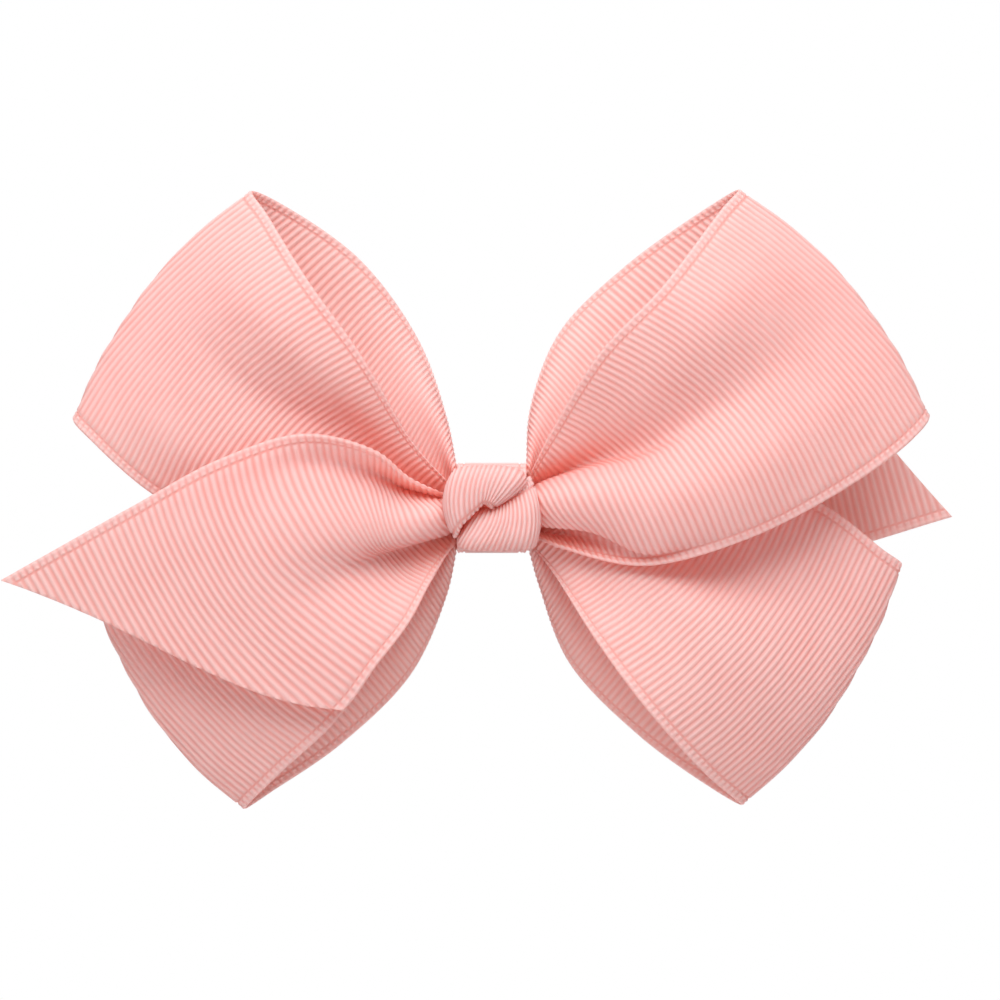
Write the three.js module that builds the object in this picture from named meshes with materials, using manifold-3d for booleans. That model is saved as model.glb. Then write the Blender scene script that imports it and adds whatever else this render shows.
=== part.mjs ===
// A gathered grosgrain hair bow on a sprung alligator clip. Millimetres, +Z up.
// The bow faces -Y and the hair side faces +Y. The origin is in the middle of the knot, at the face of the
// lined clip arm that grips the hair.
import * as THREE from "three";
import { mergeVertices } from "three/addons/utils/BufferGeometryUtils.js";
import Module from "manifold-3d";

const wasm = await Module();
wasm.setup();

// ---- driving dimensions --------------------------------------------------------------------------------
const RIBBON_THICK = 0.8; // a pinched grosgrain lobe, wider than one layer of the 38 mm ribbon is thick
const LOBE_STEPS = 26; // stations along a loop
const TAIL_STEPS = 14; // stations along a tail
const RIB_STEPS = 6; // stations across the ribbon
const CORE_HALF = 4.8; // half length of the gathered centre
const CORE_Y = [-11.7, -2.5];
const CORE_Z = [-4.8, 5.2];
const CORE_ROUND = 2;
const WAIST_DEPTH = 0.6; // how far the thread sinks into the gathers
const WAIST_HALF = 1.3;
const GAP = 0.1; // between faces that touch on the bench
const STRAP_X = [-4.7, 4.6];
const STRAP_Y = [-12.6, 0.7];
const STRAP_Z = [-5.9, 6.1];
const STRAP_THICK = 0.5;
const KNOT_HALF_X = 6.2;
const KNOT_HALF_Z = 5.8;
const KNOT_BACK_Y = -12.9;
const KNOT_FRONT_Y = -18.6;
const CREASE_ANGLE = 41; // degrees, of the diagonal where the knot's two turns cross
const CREASE_GAP = 0.3;
const ARM_HALF_Z = 3.6; // half width of both clip arms
const STEEL = 0.7;
const ARM_Y = [-1.25, -0.55]; // the flat upper arm
const ARM_X = [-23, 24.5];
const LINING = 0.4;
const LINING_X = [-23.9, 6.6];
const PIVOT = { x: 10, y: 2.2, pin: 0.6, bore: 0.75, head: 1.1 };
const EAR = 0.7;
const COIL_RADIUS = 1.25; // to the middle of the wire
const WIRE = 0.25; // wire radius
const COIL_TURNS = 4;
const TOOTH_PITCH = 1.5;
const TOOTH_COUNT = 10;
const TOOTH_TIP_Y = 0.3;
const TOOTH_ROOT_Y = 1.4;
const TOOTH_START_X = -21.9;
const JAW_FLAT_X = [-22.6, -8]; // the straight stretch of the toothed arm

const COLOURS = { ribbon: 0xfbb9b0, knot: 0xf9bcb4, thread: 0xf2a79e, steel: 0xc9ccd0, glue: 0xe9e4d6 };

// ---- helpers -------------------------------------------------------------------------------------------
const group = new THREE.Group();

function put(name, geometry, colour, metalness = 0, roughness = 0.8) {
  const material = new THREE.MeshStandardMaterial({ color: colour, roughness, metalness });
  const mesh = new THREE.Mesh(geometry, material);
  mesh.name = name;
  group.add(mesh);
  return mesh;
}

function toSolid(geometry) {
  const bare = geometry.index ? geometry.toNonIndexed() : geometry.clone();
  bare.deleteAttribute("normal");
  bare.deleteAttribute("uv");
  const merged = mergeVertices(bare, 1e-4);
  const vertProperties = new Float32Array(merged.attributes.position.array);
  const triVerts = new Uint32Array(merged.index.array);
  return new wasm.Manifold(new wasm.Mesh({ numProp: 3, vertProperties, triVerts }));
}

function toGeometry(solid) {
  const mesh = solid.getMesh();
  const geometry = new THREE.BufferGeometry();
  geometry.setAttribute("position", new THREE.BufferAttribute(mesh.vertProperties, 3));
  geometry.setIndex(new THREE.BufferAttribute(mesh.triVerts, 1));
  return geometry;
}

function block([x0, x1], [y0, y1], [z0, z1]) {
  const geometry = new THREE.BoxGeometry(x1 - x0, y1 - y0, z1 - z0);
  geometry.translate((x0 + x1) / 2, (y0 + y1) / 2, (z0 + z1) / 2);
  return geometry;
}

// A side view drawn in X and Y, given width along Z.
function sideProfile(shape, [z0, z1]) {
  const geometry = new THREE.ExtrudeGeometry(shape, { depth: z1 - z0, bevelEnabled: false, curveSegments: 8 });
  geometry.translate(0, 0, z0);
  return geometry;
}

function roundedRectangle(shape, [a0, a1], [b0, b1], r) {
  shape.moveTo(a0 + r, b0);
  shape.lineTo(a1 - r, b0);
  shape.absarc(a1 - r, b0 + r, r, -Math.PI / 2, 0, false);
  shape.lineTo(a1, b1 - r);
  shape.absarc(a1 - r, b1 - r, r, 0, Math.PI / 2, false);
  shape.lineTo(a0 + r, b1);
  shape.absarc(a0 + r, b1 - r, r, Math.PI / 2, Math.PI, false);
  shape.lineTo(a0, b0 + r);
  shape.absarc(a0 + r, b0 + r, r, Math.PI, 1.5 * Math.PI, false);
  return shape;
}

// A shape drawn in Y and Z, given length along X.
function alongX(shape, [x0, x1]) {
  const geometry = new THREE.ExtrudeGeometry(shape, { depth: x1 - x0, bevelEnabled: false, curveSegments: 5 });
  geometry.applyMatrix4(new THREE.Matrix4().makeBasis(
    new THREE.Vector3(0, 1, 0), new THREE.Vector3(0, 0, 1), new THREE.Vector3(1, 0, 0)));
  geometry.translate(x0, 0, 0);
  return geometry;
}

// A shape drawn in X and Z, given thickness along Y.
function plate(shape, [y0, y1]) {
  const geometry = new THREE.ExtrudeGeometry(shape, { depth: y1 - y0, bevelEnabled: false, curveSegments: 8 });
  geometry.rotateX(Math.PI / 2);
  geometry.translate(0, y1, 0);
  return geometry;
}

const shrink = ([a, b], d) => [a + d, b - d];

// ---- ribbon lobes --------------------------------------------------------------------------------------
// Each lobe lies between its two selvages. A point is x, z and then depth y, so that a list reads as the bow
// is seen from the front. A loop's selvage runs out along the front layer, round the fold and back behind.
const SELVAGES = {
  upper_right_loop: {
    bulge: [2.6, 1.9],
    inner: [
      [5.4, 4.2, -11.2], [8, 10.5, -15], [14.3, 20.6, -20], [22.3, 29, -20.5], [30.4, 39.6, -13],
      [32.8, 42.4, -9], [29.4, 40.6, -5], [17.8, 32.4, -1.2], [9.1, 23.6, -1], [5.5, 13.5, -4.4], [5.4, 7.5, -8],
    ],
    outer: [
      [5.4, -3.4, -11.2], [9.6, -5.4, -14], [20.1, -7.6, -16.4], [33.4, -4.1, -16.6], [47.3, 2.9, -14.6],
      [55.8, 9, -12], [58.2, 12.1, -9.6], [54.4, 12, -8], [40, 8, -9.4], [24, 4, -11.2], [12, 0, -11.2], [5.5, -3, -9.6],
    ],
  },
  upper_left_loop: {
    bulge: [-2.4, 1.8],
    inner: [
      [-5.4, 2.4, -10], [-10.7, 9.1, -14], [-16.8, 19.6, -19], [-24.5, 30.4, -19], [-30.4, 39.2, -12.5],
      [-32.6, 42.2, -9], [-29.2, 41, -5.5], [-17.8, 33.4, -1.7], [-10, 22.7, -1], [-6.2, 12, -4.4], [-5.5, 6.8, -7.5],
    ],
    outer: [
      [-5.4, -3.4, -10], [-10, -5.2, -11], [-20, -6.8, -12.7], [-33, -4.2, -13.4], [-44.9, 1.7, -12.6], [-53, 8.6, -11],
      [-55.8, 11.8, -8.6], [-52, 11.8, -6.6], [-38, 8, -7.8], [-24, 4, -9.7], [-12, 0, -9.7], [-5.5, -3, -8.9],
    ],
  },
  lower_right_loop: {
    bulge: [2.5, -1.9],
    inner: [
      [5.4, -4.4, -7.8], [8, -8.4, -11], [13.4, -17, -16.5], [20.3, -26.4, -18.5], [28.4, -35.4, -14],
      [33.2, -39.6, -8], [29.8, -37.8, -4.6], [19.9, -30.7, -2.2], [10.4, -20.8, -2], [6.5, -10.6, -3.8], [5.4, -5.6, -5.6],
    ],
    outer: [
      [5.4, 2.6, -7.6], [12, 4.4, -7.3], [22, 5.8, -7.5], [34, 4.6, -8.1], [44.2, 0.6, -9.2], [51.6, -5.4, -9],
      [54.1, -7.4, -7.2], [50.5, -6.8, -5.4], [38, -3.5, -5.2], [22, 0.5, -5.8], [12, 1.5, -5.9], [5.5, 2.2, -5.9],
    ],
  },
  lower_left_loop: {
    bulge: [-2.7, -2.3],
    inner: [
      [-5.4, -4.4, -7], [-8.6, -9.8, -10], [-13.4, -17.6, -14.5], [-20.5, -28, -16.5], [-28.5, -35.2, -13],
      [-33.5, -40.1, -7.8], [-30, -38, -4.4], [-20.3, -31.7, -2.1], [-10.9, -22.3, -2], [-6.3, -12, -3.6], [-5.5, -5.2, -5],
    ],
    outer: [
      [-5.4, 2.6, -6.8], [-12, 4.2, -6.5], [-22, 5.2, -6.7], [-34, 4, -7.5], [-45, -0.5, -8.6], [-52, -5.4, -8.6],
      [-54.4, -7.2, -6.9], [-50.6, -6.8, -5], [-38, -3.6, -4.6], [-22, 0, -5], [-12, 1.4, -5.2], [-5.5, 2.2, -5.2],
    ],
  },
  left_tail: {
    bulge: [0, 0],
    inner: [
      [-5.4, 1.8, -11.4], [-10.9, 4.3, -15.4], [-15.5, 7.6, -18.4], [-24.7, 9.8, -20], [-35.7, 6.6, -19.6],
      [-48.2, -0.1, -17], [-65.4, -9.6, -11],
    ],
    outer: [[-5.4, -4.2, -11.4], [-8.2, -10, -15.4], [-11.1, -15.4, -18.6], [-15.3, -20.9, -20], [-20.3, -26.9, -19.5]],
  },
  right_tail: {
    bulge: [0, 0],
    inner: [[5.5, 3.6, -3.8], [12, 12, -2.8], [20, 22, -1.4], [33, 30, 0.6]],
    outer: [[5.5, -3.6, -3.8], [14, -6.6, -3.4], [28, -8.4, -2.6], [44, -6.2, -0.6], [61.2, -1.2, 0.5]],
  },
};

function selvage(points) {
  return new THREE.CatmullRomCurve3(points.map(([x, z, y]) => new THREE.Vector3(x, y, z)));
}

// A closed strip of even thickness between two selvages. Its ribs join equal shares of the selvages' lengths and
// bow outwards at the fold, where the middle of the ribbon reaches furthest from the knot.
function ribbonLobe({ inner, outer, bulge }, steps) {
  const a = selvage(inner);
  const b = selvage(outer);
  a.arcLengthDivisions = 400;
  b.arcLengthDivisions = 400;
  const grid = [];
  for (let i = 0; i <= steps; i++) {
    const p = a.getPointAt(i / steps);
    const q = b.getPointAt(i / steps);
    const reach = Math.sin((Math.PI * i) / steps) ** 2;
    const row = [];
    for (let j = 0; j <= RIB_STEPS; j++) {
      const v = j / RIB_STEPS;
      const push = 4 * v * (1 - v) * reach;
      row.push(p.clone().lerp(q, v).add(new THREE.Vector3(bulge[0] * push, 0, bulge[1] * push)));
    }
    grid.push(row);
  }
  const normalAt = (i, j) => {
    const along = grid[Math.min(i + 1, steps)][j].clone().sub(grid[Math.max(i - 1, 0)][j]);
    const across = grid[i][Math.min(j + 1, RIB_STEPS)].clone().sub(grid[i][Math.max(j - 1, 0)]);
    return along.cross(across).normalize();
  };
  const positions = [];
  const columns = RIB_STEPS + 1;
  for (const side of [0.5, -0.5]) {
    for (let i = 0; i <= steps; i++) {
      for (let j = 0; j < columns; j++) {
        const v = grid[i][j].clone().addScaledVector(normalAt(i, j), side * RIBBON_THICK);
        positions.push(v.x, v.y, v.z);
      }
    }
  }
  const layer = (steps + 1) * columns;
  const at = (side, i, j) => side * layer + i * columns + j;
  const indices = [];
  const quad = (p, q, r, s) => indices.push(p, q, r, p, r, s);
  for (let i = 0; i < steps; i++) {
    for (let j = 0; j < RIB_STEPS; j++) {
      quad(at(0, i, j), at(0, i + 1, j), at(0, i + 1, j + 1), at(0, i, j + 1));
      quad(at(1, i, j), at(1, i, j + 1), at(1, i + 1, j + 1), at(1, i + 1, j));
    }
    quad(at(0, i, 0), at(1, i, 0), at(1, i + 1, 0), at(0, i + 1, 0));
    quad(at(0, i, RIB_STEPS), at(0, i + 1, RIB_STEPS), at(1, i + 1, RIB_STEPS), at(1, i, RIB_STEPS));
  }
  for (let j = 0; j < RIB_STEPS; j++) {
    quad(at(0, 0, j), at(0, 0, j + 1), at(1, 0, j + 1), at(1, 0, j));
    quad(at(0, steps, j), at(1, steps, j), at(1, steps, j + 1), at(0, steps, j + 1));
  }
  const geometry = new THREE.BufferGeometry();
  geometry.setAttribute("position", new THREE.Float32BufferAttribute(positions, 3));
  geometry.setIndex(indices);
  return toSolid(geometry).volume() < 0 ? turnedOut(geometry) : geometry;
}

function turnedOut(geometry) {
  const index = geometry.index.array;
  for (let i = 0; i < index.length; i += 3) [index[i + 1], index[i + 2]] = [index[i + 2], index[i + 1]];
  return geometry;
}

for (const [name, edges] of Object.entries(SELVAGES)) {
  const steps = name.endsWith("loop") ? LOBE_STEPS : TAIL_STEPS;
  put(name, ribbonLobe(edges, steps), COLOURS.ribbon);
}

// ---- gathered centre and the thread that binds it --------------------------------------------------------
function ring(outerY, outerZ, thick, radius) {
  const shape = roundedRectangle(new THREE.Shape(), outerY, outerZ, radius);
  shape.holes.push(roundedRectangle(new THREE.Path(), shrink(outerY, thick), shrink(outerZ, thick), radius - thick));
  return shape;
}

const coreShape = roundedRectangle(new THREE.Shape(), CORE_Y, CORE_Z, CORE_ROUND);
const waistShape = ring(shrink(CORE_Y, -1), shrink(CORE_Z, -1), 1 + WAIST_DEPTH, CORE_ROUND + 1);
const core = toSolid(alongX(coreShape, [-CORE_HALF, CORE_HALF]))
  .subtract(toSolid(alongX(waistShape, [-WAIST_HALF, WAIST_HALF])));
put("gathered_centre", toGeometry(core), COLOURS.ribbon);

const threadShape = ring(CORE_Y, CORE_Z, WAIST_DEPTH - GAP, CORE_ROUND);
put("binding_thread", alongX(threadShape, [-WAIST_HALF + GAP, WAIST_HALF - GAP]), COLOURS.thread);

// ---- centre knot and its strap ---------------------------------------------------------------------------
put("knot_strap", alongX(ring(STRAP_Y, STRAP_Z, STRAP_THICK, 2), STRAP_X), COLOURS.knot);

// The knot is a soft pillow with a flat back; its two turns meet along the diagonal crease.
function knotPillow() {
  const rings = 8;
  const sides = 20;
  const positions = [];
  const indices = [];
  const depth = KNOT_BACK_Y - KNOT_FRONT_Y;
  for (let i = 0; i < rings; i++) {
    const level = (i / rings) * (Math.PI / 2);
    for (let k = 0; k < sides; k++) {
      const turn = (k / sides) * 2 * Math.PI;
      const round = (value, half) => Math.sign(value) * Math.abs(value) ** 0.75 * half;
      const reach = Math.cos(level) ** 0.6;
      positions.push(round(Math.cos(turn), KNOT_HALF_X) * reach);
      positions.push(KNOT_BACK_Y - depth * Math.sin(level));
      positions.push(round(Math.sin(turn), KNOT_HALF_Z) * reach);
    }
  }
  positions.push(0, KNOT_FRONT_Y, 0, 0, KNOT_BACK_Y, 0);
  const tip = rings * sides;
  for (let k = 0; k < sides; k++) {
    const next = (k + 1) % sides;
    for (let i = 0; i < rings - 1; i++) {
      const [p, q, r, s] = [i * sides + k, i * sides + next, (i + 1) * sides + next, (i + 1) * sides + k];
      indices.push(p, q, r, p, r, s);
    }
    indices.push((rings - 1) * sides + k, (rings - 1) * sides + next, tip);
    indices.push(tip + 1, next, k);
  }
  const geometry = new THREE.BufferGeometry();
  geometry.setAttribute("position", new THREE.Float32BufferAttribute(positions, 3));
  geometry.setIndex(indices);
  return toSolid(geometry).volume() < 0 ? turnedOut(geometry) : geometry;
}

function creaseHalf(side) {
  const far = 30;
  const geometry = block([-far, far], [-far, far], side > 0 ? [CREASE_GAP / 2, far] : [-far, -CREASE_GAP / 2]);
  geometry.rotateY(-THREE.MathUtils.degToRad(CREASE_ANGLE));
  return toSolid(geometry);
}

const pillow = toSolid(knotPillow());
put("knot_upper_turn", toGeometry(pillow.intersect(creaseHalf(1))), COLOURS.knot);
put("knot_lower_turn", toGeometry(pillow.intersect(creaseHalf(-1))), COLOURS.knot);

// ---- glue ------------------------------------------------------------------------------------------------
const gluePad = roundedRectangle(new THREE.Shape(), [-4, 4], [-3, 3], 1.5);
put("glue_pad", plate(gluePad, [CORE_Y[1] + GAP, ARM_Y[0] - GAP - LINING - GAP]), COLOURS.glue, 0, 0.35);

// ---- alligator clip ----------------------------------------------------------------------------------------
function armOutline([x0, x1], half) {
  const shape = new THREE.Shape();
  shape.moveTo(x0 + half, -half);
  shape.lineTo(x1 - half / 2, -half);
  shape.absarc(x1 - half / 2, -half / 2, half / 2, -Math.PI / 2, 0, false);
  shape.lineTo(x1, half / 2);
  shape.absarc(x1 - half / 2, half / 2, half / 2, 0, Math.PI / 2, false);
  shape.lineTo(x0 + half, half);
  shape.absarc(x0 + half, 0, half, Math.PI / 2, 1.5 * Math.PI, false);
  return shape;
}

// A pair of ears on the pin, from the arm's plate to just past the pin.
function ears(halfWidth, plateY, roundY) {
  const shape = new THREE.Shape();
  const reach = 1.6;
  const side = Math.sign(roundY - plateY);
  shape.moveTo(PIVOT.x - reach - 0.9, plateY);
  shape.lineTo(PIVOT.x - reach, PIVOT.y);
  shape.absarc(PIVOT.x, PIVOT.y, reach, Math.PI, 0, side > 0);
  shape.lineTo(PIVOT.x + reach + 0.9, plateY);
  const hole = new THREE.Path();
  hole.absarc(PIVOT.x, PIVOT.y, PIVOT.bore, 0, 2 * Math.PI, side < 0);
  shape.holes.push(hole);
  const far = sideProfile(shape, [halfWidth - EAR, halfWidth]);
  const near = sideProfile(shape, [-halfWidth, EAR - halfWidth]);
  return toSolid(far).add(toSolid(near));
}

const flatArm = toSolid(plate(armOutline(ARM_X, ARM_HALF_Z), ARM_Y));
const innerEarHalf = ARM_HALF_Z - EAR - GAP;
put("clip_flat_arm", toGeometry(flatArm.add(ears(innerEarHalf, ARM_Y[1] - 0.2, PIVOT.y + 1))), COLOURS.steel, 0.9, 0.3);

// The lining is a narrow ribbon glued round the gripping half of the flat arm.
const liningY = [ARM_Y[0] - GAP - LINING, ARM_Y[1] + GAP + LINING];
const liningBody = toSolid(plate(armOutline([LINING_X[0], LINING_X[1] + 2], ARM_HALF_Z + GAP + LINING), liningY));
const liningRoom = toSolid(plate(armOutline([ARM_X[0] - GAP, ARM_X[1]], ARM_HALF_Z + GAP), shrink(liningY, LINING)));
const liningEnd = toSolid(block([LINING_X[1], 40], [-10, 10], [-10, 10]));
put("clip_lining", toGeometry(liningBody.subtract(liningRoom).subtract(liningEnd)), COLOURS.knot);

// The toothed arm: low over the teeth, arched over the spring, then a lever for the finger.
function toothedArm() {
  const flatY = TOOTH_ROOT_Y + STEEL / 2;
  const spine = new THREE.CatmullRomCurve3([
    [JAW_FLAT_X[1], flatY], [-3, 2.2], [3, 3.4], [8, 4.3], [12.5, 4.5], [18, 5.8], [24.5, 8.8],
  ].map(([x, y]) => new THREE.Vector3(x, y, 0)));
  const count = 18;
  const upper = [new THREE.Vector2(JAW_FLAT_X[0], flatY + STEEL / 2)];
  const lower = [new THREE.Vector2(JAW_FLAT_X[0], flatY - STEEL / 2)];
  for (let i = 0; i <= count; i++) {
    const p = spine.getPointAt(i / count);
    const t = spine.getTangentAt(i / count);
    upper.push(new THREE.Vector2(p.x - t.y * STEEL / 2, p.y + t.x * STEEL / 2));
    lower.push(new THREE.Vector2(p.x + t.y * STEEL / 2, p.y - t.x * STEEL / 2));
  }
  const strip = toSolid(sideProfile(new THREE.Shape([...lower, ...upper.reverse()]), [-ARM_HALF_Z, ARM_HALF_Z]));
  const far = 40;
  const outline = toSolid(plate(armOutline([JAW_FLAT_X[0], ARM_X[1] + 1], ARM_HALF_Z), [-far, far]));
  const saw = new THREE.Shape();
  saw.moveTo(TOOTH_START_X, TOOTH_ROOT_Y + 0.3);
  for (let i = 0; i < TOOTH_COUNT; i++) {
    const x = TOOTH_START_X + i * TOOTH_PITCH;
    saw.lineTo(x, TOOTH_ROOT_Y);
    saw.lineTo(x + TOOTH_PITCH / 2, TOOTH_TIP_Y);
  }
  saw.lineTo(TOOTH_START_X + TOOTH_COUNT * TOOTH_PITCH, TOOTH_ROOT_Y);
  saw.lineTo(TOOTH_START_X + TOOTH_COUNT * TOOTH_PITCH, TOOTH_ROOT_Y + 0.3);
  const teeth = toSolid(sideProfile(saw, [ARM_HALF_Z - STEEL, ARM_HALF_Z]))
    .add(toSolid(sideProfile(saw, [-ARM_HALF_Z, STEEL - ARM_HALF_Z])));
  return strip.add(teeth).intersect(outline).add(ears(ARM_HALF_Z, 4.3, PIVOT.y - 1));
}

put("clip_toothed_arm", toGeometry(toothedArm()), COLOURS.steel, 0.9, 0.3);

function pivotPin() {
  const half = ARM_HALF_Z + GAP;
  const head = 0.45;
  const profile = [
    [0, -half - head], [PIVOT.head, -half - head], [PIVOT.head, -half], [PIVOT.pin, -half],
    [PIVOT.pin, half], [PIVOT.head, half], [PIVOT.head, half + head], [0, half + head],
  ].map(([r, y]) => new THREE.Vector2(r, y));
  const geometry = new THREE.LatheGeometry(profile, 16);
  geometry.rotateX(Math.PI / 2);
  geometry.translate(PIVOT.x, PIVOT.y, 0);
  return geometry;
}

put("clip_pivot_pin", pivotPin(), COLOURS.steel, 0.9, 0.25);

// A torsion spring: a coil round the pin, with one leg on each arm.
function torsionSpring() {
  const points = [];
  const pitch = 0.62;
  const half = (COIL_TURNS * pitch) / 2;
  const steps = COIL_TURNS * 12;
  points.push(new THREE.Vector3(18.2, 0.15, -half), new THREE.Vector3(14, 0.5, -half));
  for (let i = 0; i <= steps; i++) {
    const turn = -Math.PI / 2 - (i / steps) * (COIL_TURNS * 2 * Math.PI - Math.PI);
    const z = -half + (i / steps) * 2 * half;
    points.push(new THREE.Vector3(PIVOT.x + COIL_RADIUS * Math.cos(turn), PIVOT.y + COIL_RADIUS * Math.sin(turn), z));
  }
  points.push(new THREE.Vector3(14, 4.0, half), new THREE.Vector3(18.2, 5.05, half));
  const section = new THREE.Shape();
  section.absarc(0, 0, WIRE, 0, 2 * Math.PI, false);
  const path = new THREE.CatmullRomCurve3(points);
  return new THREE.ExtrudeGeometry(section, { steps: 90, extrudePath: path, bevelEnabled: false, curveSegments: 3 });
}

put("clip_spring", torsionSpring(), COLOURS.steel, 0.9, 0.25);

export default group;
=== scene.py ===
"""A gathered grosgrain hair bow on a sprung alligator clip.

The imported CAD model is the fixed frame. Ribbon pieces are woven surfaces laid between their two selvages and
raised in pleats near the gather. The pleats are too shallow to hold the ribbon's whole width there. Lengths
are millimetres until a mesh is made, and metres in the studio.
"""
import math

import bpy
import numpy as np
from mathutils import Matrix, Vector


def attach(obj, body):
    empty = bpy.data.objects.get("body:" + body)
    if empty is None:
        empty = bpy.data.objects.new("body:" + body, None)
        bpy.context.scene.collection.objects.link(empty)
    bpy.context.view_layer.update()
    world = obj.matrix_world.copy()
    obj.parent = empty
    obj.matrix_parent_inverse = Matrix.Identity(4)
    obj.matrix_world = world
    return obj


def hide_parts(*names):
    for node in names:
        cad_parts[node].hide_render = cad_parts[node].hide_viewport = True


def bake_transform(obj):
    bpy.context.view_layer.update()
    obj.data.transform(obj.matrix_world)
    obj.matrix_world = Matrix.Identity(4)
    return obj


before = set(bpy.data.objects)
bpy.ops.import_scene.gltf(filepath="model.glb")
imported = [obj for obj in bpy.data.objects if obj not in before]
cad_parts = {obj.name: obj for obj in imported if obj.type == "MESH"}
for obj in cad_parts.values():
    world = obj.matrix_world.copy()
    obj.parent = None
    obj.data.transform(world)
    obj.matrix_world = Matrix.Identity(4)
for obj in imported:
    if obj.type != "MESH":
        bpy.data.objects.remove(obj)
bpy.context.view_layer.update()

MM = 0.001

# ---- the ribbon --------------------------------------------------------------------------------------
RIBBON_WIDTH = 38.1
RIB_PITCH = 1.0
LOOP_RIB_PITCH = 0.85  # as counted on the loops, which puff out further than their modelled depth
KNOT_RIBBON_WIDTH = 9.5
KNOT_RIB_PITCH = 0.72
SELVAGE = 1.3  # width of the woven edge that carries no ribs
CLOTH = 0.12  # half the thickness at the bottom of a groove
RIB_HEIGHT = 0.18
ROWS_PER_RIB = 6
THIN_EDGE = 0.12  # width over which a selvage thins to its rim
MELTED_HEIGHT = 0.75  # of a melted rim, as a share of the rib height
GRID_ACROSS = 40


def catmull_rom(points, per_span=40):
    """The centripetal Catmull-Rom curve through the points, as the CAD model draws it."""
    p = np.asarray(points, float)
    p = np.vstack([2 * p[0] - p[1], p, 2 * p[-1] - p[-2]])
    step = np.sqrt(np.linalg.norm(np.diff(p, axis=0), axis=1))
    t = np.linspace(0, 1, per_span, endpoint=False)[:, None]
    out = []
    for i in range(1, len(p) - 2):
        d0, d1, d2 = step[i - 1:i + 2]
        a, b = p[i], p[i + 1]
        m0 = d1 * ((a - p[i - 1]) / d0 - (b - p[i - 1]) / (d0 + d1) + (b - a) / d1)
        m1 = d1 * ((b - a) / d1 - (p[i + 2] - a) / (d1 + d2) + (p[i + 2] - b) / d2)
        out.append(a + m0 * t + (3 * (b - a) - 2 * m0 - m1) * t ** 2 + (m0 + m1 - 2 * (b - a)) * t ** 3)
    return np.vstack(out + [p[-2:-1]])


class Selvage:
    """A curve read by its share of length. A loop's halves each take half the shares: its fold is at 0.5."""

    PER_SPAN = 40

    def __init__(self, points, fold=None):
        self.at = catmull_rom([(x, y, z) for x, z, y in points], self.PER_SPAN)
        length = np.concatenate([[0], np.cumsum(np.linalg.norm(np.diff(self.at, axis=0), axis=1))])
        self.length = length[-1]
        if fold is None:
            self.share = length / length[-1]
        else:
            turn = length[fold * self.PER_SPAN]
            self.share = np.where(length < turn, 0.5 * length / turn,
                                  0.5 + 0.5 * (length - turn) / (length[-1] - turn))

    def share_at(self, number):
        """The share of the length at one of the curve's own points."""
        return float(self.share[number * self.PER_SPAN])

    def __call__(self, share):
        return np.stack([np.interp(share, self.share, self.at[:, k]) for k in range(3)], -1)


def smooth_profile(points, v):
    """A smooth function through (v, value) points."""
    curve = catmull_rom(points, 24)
    order = np.maximum.accumulate(curve[:, 0])
    return np.interp(v, order, curve[:, 1])


def along_line(points, share):
    """Places at equal shares of a line's length."""
    step = np.linalg.norm(np.diff(points, axis=0), axis=1)
    length = np.concatenate([[0], np.cumsum(step)])
    return np.stack([np.interp(share * length[-1], length, points[:, k]) for k in range(points.shape[1])], -1)


def line_length(points):
    return float(np.linalg.norm(np.diff(points, axis=0), axis=1).sum())


def smooth_step(x):
    x = np.clip(x, 0, 1)
    return x * x * (3 - 2 * x)


def columns(width, selvages, middle):
    """Stations across a ribbon, close together over its two woven selvages."""
    edge = np.array([0, 0.07, 0.18, 0.32, 0.46, 0.6, 0.7, 0.8, 0.9, 1.0])
    inner = np.linspace(selvages[0] * 1.15, width - selvages[1] * 1.15, middle)
    return np.concatenate([selvages[0] * edge, inner, width - selvages[1] * edge[::-1]])


def blurred(table, spread):
    """The table smoothed down its rows by a Gaussian of that spread, its end rows repeated past the ends."""
    reach = int(3 * spread)
    kernel = np.exp(-0.5 * (np.arange(-reach, reach + 1) / spread) ** 2)
    padded = np.pad(table, ((reach, reach), (0, 0)), mode="edge")
    return np.stack([np.convolve(column, kernel / kernel.sum(), mode="valid") for column in padded.T], 1)


def look_up(table, share, v):
    """The table's value at a share of its rows and a share of its columns."""
    row = np.clip(share, 0, 1) * (table.shape[0] - 1)
    column = np.clip(v, 0, 1) * (table.shape[1] - 1)
    i = np.minimum(row.astype(int), table.shape[0] - 2)
    j = np.minimum(column.astype(int), table.shape[1] - 2)
    a, b = row - i, column - j
    near = table[i, j] * (1 - b) + table[i, j + 1] * b
    far = table[i + 1, j] * (1 - b) + table[i + 1, j + 1] * b
    return near * (1 - a) + far * a


def section_tables(keys, shares, chords, count):
    """Sections across the ribbon as tables of the place along the chord and of the height towards the viewer.

    Each key is a share of the length and its section, (share of the chord, height) points. A section is read
    at equal steps of its own length, so that its columns stay evenly spaced where it stands up in a pleat.
    """
    at = sorted(keys)
    sections = np.array([keys[share] for share in at], float)
    even = np.linspace(0, 1, count)
    tables = np.empty((2, len(shares), count))
    for row, (share, chord) in enumerate(zip(shares, chords)):
        here = [[np.interp(share, at, sections[:, i, k]) for k in range(2)] for i in range(sections.shape[1])]
        curve = catmull_rom([(chord * w, h) for w, h in here], 12)
        tables[:, row] = along_line(curve, even).T
        tables[0, row] /= chord
    return tables


def level(*places):
    return [(place, 0) for place in places]


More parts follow.
